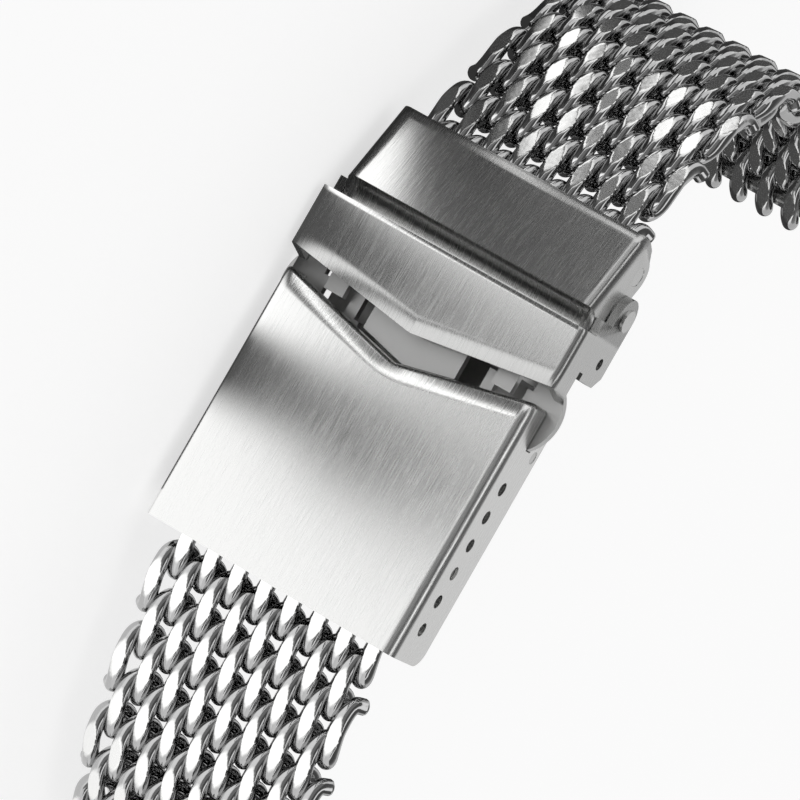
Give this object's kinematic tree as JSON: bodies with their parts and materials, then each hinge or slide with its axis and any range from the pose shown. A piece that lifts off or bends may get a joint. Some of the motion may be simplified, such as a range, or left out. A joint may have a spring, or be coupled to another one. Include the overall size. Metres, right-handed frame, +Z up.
{
  "type": "woven mesh watch bracelet with folding clasp",
  "caption": "Heavy woven steel mesh watch bracelet with a folding push-tab clasp, V-shaped safety flap and sprung lug bars.",
  "frame": {"origin": "under the middle of the whole bracelet's box, at the height of its lowest point, the lower push tab", "axes": "+X along the closed clasp from strap A to strap B, +Y out of the clasp cover's face, +Z up along the bracelet's width"},
  "size_m": [0.085, 0.046, 0.0264],
  "materials": {
    "mesh_wire": "polished steel wire, the tops ground flat",
    "brushed_sheet": "steel sheet brushed along the bracelet",
    "tab_steel": "satin steel plate with a polished rim",
    "blade_steel": "satin pressed steel",
    "spring_steel": "drawn spring wire",
    "pin_steel": "turned steel"
  },
  "bodies": {
    "cover": {"clasp_cover": "brushed_sheet", "cover_hinge_pin": "pin_steel", "adjust_bar_barrel": "pin_steel", "adjust_bar_spring": "spring_steel", "tab_spring": "spring_steel"},
    "inner_blade": {"inner_blade": "blade_steel", "blade_hinge_pin": "pin_steel"},
    "outer_blade": {"outer_blade": "blade_steel", "catch_bridge": "blade_steel", "flap_pin": "pin_steel"},
    "flap": {"safety_flap": "brushed_sheet"},
    "block": {"end_block": "brushed_sheet", "block_pin": "pin_steel"},
    "push_tab_upper": {"push_tab_upper": "tab_steel"},
    "push_tab_lower": {"push_tab_lower": "tab_steel"},
    "adjust_tip_upper": {"adjust_bar_tip_upper": "pin_steel"},
    "adjust_tip_lower": {"adjust_bar_tip_lower": "pin_steel"},
    "strap_a_row_01": {"strap_a_row_01": "mesh_wire"},
    "strap_a_row_02": {"strap_a_row_02": "mesh_wire"},
    "strap_a_row_03": {"strap_a_row_03": "mesh_wire"},
    "strap_a_row_04": {"strap_a_row_04": "mesh_wire"},
    "strap_a_row_05": {"strap_a_row_05": "mesh_wire"},
    "strap_a_row_06": {"strap_a_row_06": "mesh_wire"},
    "strap_a_row_07": {"strap_a_row_07": "mesh_wire"},
    "strap_a_row_08": {"strap_a_row_08": "mesh_wire"},
    "strap_a_row_09": {"strap_a_row_09": "mesh_wire"},
    "strap_a_row_10": {"strap_a_row_10": "mesh_wire"},
    "strap_a_row_11": {"strap_a_row_11": "mesh_wire"},
    "strap_a_row_12": {"strap_a_row_12": "mesh_wire"},
    "strap_a_row_13": {"strap_a_row_13": "mesh_wire"},
    "strap_a_row_14": {"strap_a_row_14": "mesh_wire"},
    "strap_a_row_15": {"strap_a_row_15": "mesh_wire"},
    "strap_a_row_16": {"strap_a_row_16": "mesh_wire", "lug_bar_a_barrel": "pin_steel", "lug_bar_a_spring": "spring_steel"},
    "lug_tip_a_upper": {"lug_bar_a_tip_upper": "pin_steel"},
    "lug_tip_a_lower": {"lug_bar_a_tip_lower": "pin_steel"},
    "strap_b_row_01": {"strap_b_row_01": "mesh_wire"},
    "strap_b_row_02": {"strap_b_row_02": "mesh_wire"},
    "strap_b_row_03": {"strap_b_row_03": "mesh_wire"},
    "strap_b_row_04": {"strap_b_row_04": "mesh_wire"},
    "strap_b_row_05": {"strap_b_row_05": "mesh_wire"},
    "strap_b_row_06": {"strap_b_row_06": "mesh_wire"},
    "strap_b_row_07": {"strap_b_row_07": "mesh_wire"},
    "strap_b_row_08": {"strap_b_row_08": "mesh_wire"},
    "strap_b_row_09": {"strap_b_row_09": "mesh_wire"},
    "strap_b_row_10": {"strap_b_row_10": "mesh_wire"},
    "strap_b_row_11": {"strap_b_row_11": "mesh_wire"},
    "strap_b_row_12": {"strap_b_row_12": "mesh_wire"},
    "strap_b_row_13": {"strap_b_row_13": "mesh_wire"},
    "strap_b_row_14": {"strap_b_row_14": "mesh_wire", "lug_bar_b_barrel": "pin_steel", "lug_bar_b_spring": "spring_steel"},
    "lug_tip_b_upper": {"lug_bar_b_tip_upper": "pin_steel"},
    "lug_tip_b_lower": {"lug_bar_b_tip_lower": "pin_steel"}
  },
  "joints": [
    {"name": "cover_hinge", "type": "hinge", "parent": "cover", "child": "inner_blade", "pos_m": [0.00458, 0.01747, 0.01317], "axis": [0, 0, 1], "range_deg": [0, 170]},
    {"name": "blade_hinge", "type": "hinge", "parent": "inner_blade", "child": "outer_blade", "pos_m": [-0.01112, 0.01607, 0.01317], "axis": [0, 0, 1], "range_deg": [-170, 0]},
    {"name": "flap_hinge", "type": "hinge", "parent": "outer_blade", "child": "flap", "pos_m": [0.01748, 0.01647, 0.01317], "axis": [0, 0, -1], "range_deg": [0, 80]},
    {"name": "block_hinge", "type": "hinge", "parent": "outer_blade", "child": "block", "pos_m": [0.01748, 0.01647, 0.01317], "axis": [0, 0, -1], "range_deg": [0, 25]},
    {"name": "push_tab_upper_press", "type": "slide", "parent": "cover", "child": "push_tab_upper", "axis": [0, 0, -1], "range_m": [0, 0.0008], "stiffness_N_per_m": 1200, "springref_m": -0.0008, "deforming": ["tab_spring"]},
    {"name": "push_tab_lower_press", "type": "slide", "parent": "cover", "child": "push_tab_lower", "axis": [0, 0, 1], "range_m": [0, 0.0008], "stiffness_N_per_m": 1200, "springref_m": -0.0008},
    {"name": "adjust_tip_upper_slide", "type": "slide", "parent": "cover", "child": "adjust_tip_upper", "axis": [0, 0, -1], "range_m": [0, 0.00085], "stiffness_N_per_m": 900, "springref_m": -0.0012, "deforming": ["adjust_bar_spring"]},
    {"name": "adjust_tip_lower_slide", "type": "slide", "parent": "cover", "child": "adjust_tip_lower", "axis": [0, 0, 1], "range_m": [0, 0.00085], "stiffness_N_per_m": 900, "springref_m": -0.0012},
    {"name": "strap_a_pivot", "type": "hinge", "parent": "cover", "child": "strap_a_row_01", "pos_m": [-0.00622, 0.01988, 0.01317], "axis": [0, 0, 1], "range_deg": [-2, 3]},
    {"name": "strap_a_flex_02", "type": "hinge", "parent": "strap_a_row_01", "child": "strap_a_row_02", "pos_m": [-0.00902, 0.01988, 0.01317], "axis": [0, 0, -1], "range_deg": [-0.5, 5]},
    {"name": "strap_a_flex_03", "type": "hinge", "parent": "strap_a_row_02", "child": "strap_a_row_03", "pos_m": [-0.01261, 0.01956, 0.01317], "axis": [0, 0, -1], "range_deg": [-0.7, 7]},
    {"name": "strap_a_flex_04", "type": "hinge", "parent": "strap_a_row_03", "child": "strap_a_row_04", "pos_m": [-0.01613, 0.01881, 0.01317], "axis": [0, 0, -1], "range_deg": [-0.35, 3.5]},
    {"name": "strap_a_flex_05", "type": "hinge", "parent": "strap_a_row_04", "child": "strap_a_row_05", "pos_m": [-0.0196, 0.01785, 0.01317], "axis": [0, 0, -1], "range_deg": [-0.3, 1.5]},
    {"name": "strap_a_flex_06", "type": "hinge", "parent": "strap_a_row_05", "child": "strap_a_row_06", "pos_m": [-0.02304, 0.0168, 0.01317], "axis": [0, 0, -1], "range_deg": [-0.3, 2]},
    {"name": "strap_a_flex_07", "type": "hinge", "parent": "strap_a_row_06", "child": "strap_a_row_07", "pos_m": [-0.02644, 0.01563, 0.01317], "axis": [0, 0, -1], "range_deg": [-0.5, 5]},
    {"name": "strap_a_flex_08", "type": "hinge", "parent": "strap_a_row_07", "child": "strap_a_row_08", "pos_m": [-0.02973, 0.01416, 0.01317], "axis": [0, 0, -1], "range_deg": [-0.8, 8]},
    {"name": "strap_a_flex_09", "type": "hinge", "parent": "strap_a_row_08", "child": "strap_a_row_09", "pos_m": [-0.03278, 0.01226, 0.01317], "axis": [0, 0, -1], "range_deg": [-1, 10]},
    {"name": "strap_a_flex_10", "type": "hinge", "parent": "strap_a_row_09", "child": "strap_a_row_10", "pos_m": [-0.03546, 0.00985, 0.01317], "axis": [0, 0, -1], "range_deg": [-1.05, 10.5]},
    {"name": "strap_a_flex_11", "type": "hinge", "parent": "strap_a_row_10", "child": "strap_a_row_11", "pos_m": [-0.03765, 0.00699, 0.01317], "axis": [0, 0, -1], "range_deg": [-1.05, 10.5]},
    {"name": "strap_a_flex_12", "type": "hinge", "parent": "strap_a_row_11", "child": "strap_a_row_12", "pos_m": [-0.03929, 0.00378, 0.01317], "axis": [0, 0, -1], "range_deg": [-1.05, 10.5]},
    {"name": "strap_a_flex_13", "type": "hinge", "parent": "strap_a_row_12", "child": "strap_a_row_13", "pos_m": [-0.04031, 0.00033, 0.01317], "axis": [0, 0, -1], "range_deg": [-1.05, 10.5]},
    {"name": "strap_a_flex_14", "type": "hinge", "parent": "strap_a_row_13", "child": "strap_a_row_14", "pos_m": [-0.04068, -0.00325, 0.01317], "axis": [0, 0, -1], "range_deg": [-1.05, 10.5]},
    {"name": "strap_a_flex_15", "type": "hinge", "parent": "strap_a_row_14", "child": "strap_a_row_15", "pos_m": [-0.0404, -0.00684, 0.01317], "axis": [0, 0, -1], "range_deg": [-1.05, 10.5]},
    {"name": "strap_a_flex_16", "type": "hinge", "parent": "strap_a_row_15", "child": "strap_a_row_16", "pos_m": [-0.03947, -0.01032, 0.01317], "axis": [0, 0, -1], "range_deg": [-1.05, 10.5]},
    {"name": "lug_tip_a_upper_slide", "type": "slide", "parent": "strap_a_row_16", "child": "lug_tip_a_upper", "axis": [0, 0, -1], "range_m": [0, 0.00085], "stiffness_N_per_m": 900, "springref_m": -0.0012, "deforming": ["lug_bar_a_spring"]},
    {"name": "lug_tip_a_lower_slide", "type": "slide", "parent": "strap_a_row_16", "child": "lug_tip_a_lower", "axis": [0, 0, 1], "range_m": [0, 0.00085], "stiffness_N_per_m": 900, "springref_m": -0.0012},
    {"name": "strap_b_pivot", "type": "hinge", "parent": "block", "child": "strap_b_row_01", "pos_m": [0.02088, 0.01667, 0.01317], "axis": [0, 0, -1], "range_deg": [-2, 3]},
    {"name": "strap_b_flex_02", "type": "hinge", "parent": "strap_b_row_01", "child": "strap_b_row_02", "pos_m": [0.0234, 0.01544, 0.01317], "axis": [0, 0, 1], "range_deg": [-0.3, 1]},
    {"name": "strap_b_flex_03", "type": "hinge", "parent": "strap_b_row_02", "child": "strap_b_row_03", "pos_m": [0.02661, 0.01381, 0.01317], "axis": [0, 0, 1], "range_deg": [-0.4, 4]},
    {"name": "strap_b_flex_04", "type": "hinge", "parent": "strap_b_row_03", "child": "strap_b_row_04", "pos_m": [0.02969, 0.01195, 0.01317], "axis": [0, 0, 1], "range_deg": [-0.5, 5]},
    {"name": "strap_b_flex_05", "type": "hinge", "parent": "strap_b_row_04", "child": "strap_b_row_05", "pos_m": [0.0326, 0.00984, 0.01317], "axis": [0, 0, 1], "range_deg": [-0.7, 7]},
    {"name": "strap_b_flex_06", "type": "hinge", "parent": "strap_b_row_05", "child": "strap_b_row_06", "pos_m": [0.03524, 0.00738, 0.01317], "axis": [0, 0, 1], "range_deg": [-0.9, 9]},
    {"name": "strap_b_flex_07", "type": "hinge", "parent": "strap_b_row_06", "child": "strap_b_row_07", "pos_m": [0.03745, 0.00455, 0.01317], "axis": [0, 0, 1], "range_deg": [-1, 10]},
    {"name": "strap_b_flex_08", "type": "hinge", "parent": "strap_b_row_07", "child": "strap_b_row_08", "pos_m": [0.03914, 0.00137, 0.01317], "axis": [0, 0, 1], "range_deg": [-1.05, 10.5]},
    {"name": "strap_b_flex_09", "type": "hinge", "parent": "strap_b_row_08", "child": "strap_b_row_09", "pos_m": [0.04023, -0.00207, 0.01317], "axis": [0, 0, 1], "range_deg": [-1.05, 10.5]},
    {"name": "strap_b_flex_10", "type": "hinge", "parent": "strap_b_row_09", "child": "strap_b_row_10", "pos_m": [0.04066, -0.00564, 0.01317], "axis": [0, 0, 1], "range_deg": [-1.05, 10.5]},
    {"name": "strap_b_flex_11", "type": "hinge", "parent": "strap_b_row_10", "child": "strap_b_row_11", "pos_m": [0.04044, -0.00923, 0.01317], "axis": [0, 0, 1], "range_deg": [-1.05, 10.5]},
    {"name": "strap_b_flex_12", "type": "hinge", "parent": "strap_b_row_11", "child": "strap_b_row_12", "pos_m": [0.03957, -0.01272, 0.01317], "axis": [0, 0, 1], "range_deg": [-1.05, 10.5]},
    {"name": "strap_b_flex_13", "type": "hinge", "parent": "strap_b_row_12", "child": "strap_b_row_13", "pos_m": [0.03808, -0.016, 0.01317], "axis": [0, 0, 1], "range_deg": [-1.05, 10.5]},
    {"name": "strap_b_flex_14", "type": "hinge", "parent": "strap_b_row_13", "child": "strap_b_row_14", "pos_m": [0.03602, -0.01895, 0.01317], "axis": [0, 0, 1], "range_deg": [-1.05, 10.5]},
    {"name": "lug_tip_b_upper_slide", "type": "slide", "parent": "strap_b_row_14", "child": "lug_tip_b_upper", "axis": [0, 0, -1], "range_m": [0, 0.00085], "stiffness_N_per_m": 900, "springref_m": -0.0012, "deforming": ["lug_bar_b_spring"]},
    {"name": "lug_tip_b_lower_slide", "type": "slide", "parent": "strap_b_row_14", "child": "lug_tip_b_lower", "axis": [0, 0, 1], "range_m": [0, 0.00085], "stiffness_N_per_m": 900, "springref_m": -0.0012}
  ],
  "couplings": [
    {"joint": "blade_hinge", "follows": "cover_hinge", "ratio": -1}
  ]
}
